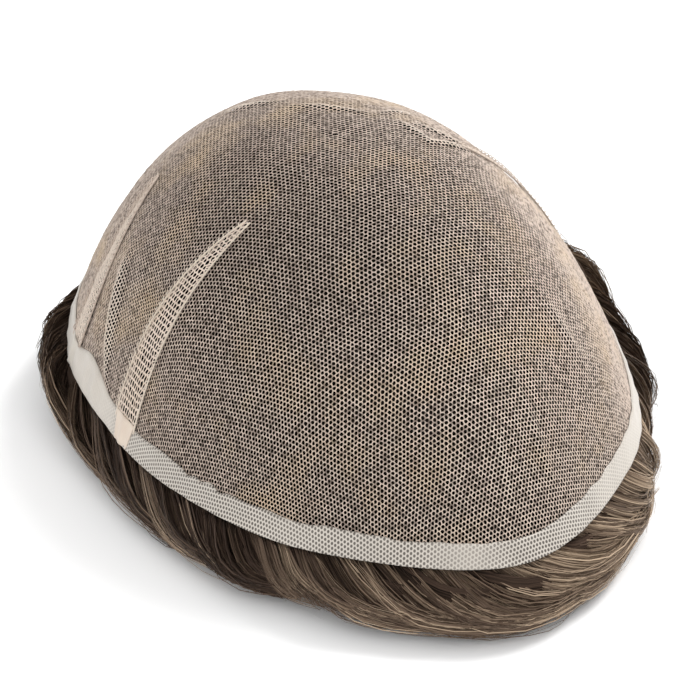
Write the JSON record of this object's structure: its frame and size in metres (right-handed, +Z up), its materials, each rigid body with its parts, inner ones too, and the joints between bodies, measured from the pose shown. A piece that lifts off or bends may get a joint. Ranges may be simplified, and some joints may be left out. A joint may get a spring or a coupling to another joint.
{
  "type": "toupee hairpiece",
  "caption": "Lace-base toupee turned inside out: a domed net base with darts and a ribbon rim stands crown up on its own short wavy hair.",
  "frame": {"origin": "on the surface that the hair stands on, under the middle of the bounding box", "axes": "+Z up through the crown, -Y towards the front hairline, +X to the right as seen from the front"},
  "size_m": [0.1546, 0.2092, 0.085],
  "materials": {
    "lace": "fine hexagonal French lace net, light beige thread over dark hair",
    "ribbon": "ivory net ribbon, semi-opaque, sewn along both edges",
    "tuck": "doubled lace, paler and coarser than the single net",
    "hair": "ash brown hair with lighter strands, satin, wavy"
  },
  "bodies": {
    "root": {"lace_base": "lace", "edge_band": "ribbon", "dart_left_front": "tuck", "dart_left_back": "tuck", "dart_right_front": "tuck", "dart_right_back": "tuck", "hair_crown": "hair", "hair_left": "hair", "hair_front": "hair", "hair_right": "hair"}
  },
  "joints": []
}
